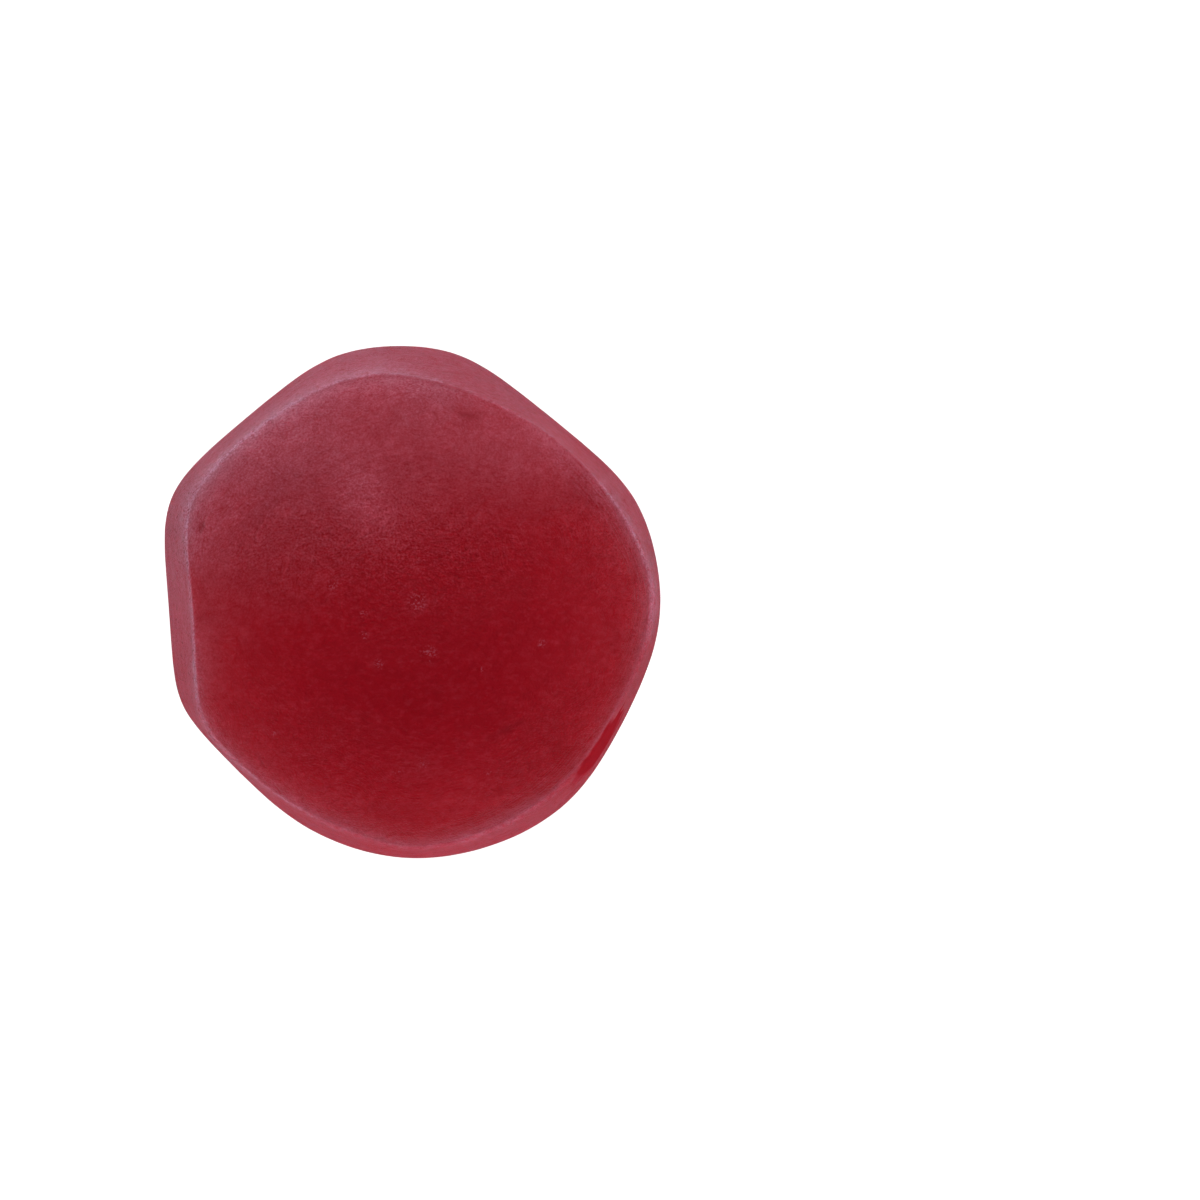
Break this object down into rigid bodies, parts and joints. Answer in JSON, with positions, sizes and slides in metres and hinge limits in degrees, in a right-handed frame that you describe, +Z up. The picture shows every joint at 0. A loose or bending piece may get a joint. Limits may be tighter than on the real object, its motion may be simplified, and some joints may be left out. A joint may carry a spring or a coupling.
{
  "type": "gummy candy",
  "caption": "Dark red drop-shaped jelly sweet with a low domed top, a creased shoulder, blunt pressed sides and a flat cast foot.",
  "frame": {"origin": "middle of the footprint's box, on the surface that the gummy stands on", "axes": "+Z up, from the cast face through the dome; +Y towards the dusty side with the deep shoulder crease; +X towards the side with the soft shoulder"},
  "size_m": [0.0142, 0.0146, 0.0102],
  "materials": {
    "red_jelly": "satin"
  },
  "bodies": {
    "root": {"gummy": "red_jelly"}
  },
  "joints": []
}
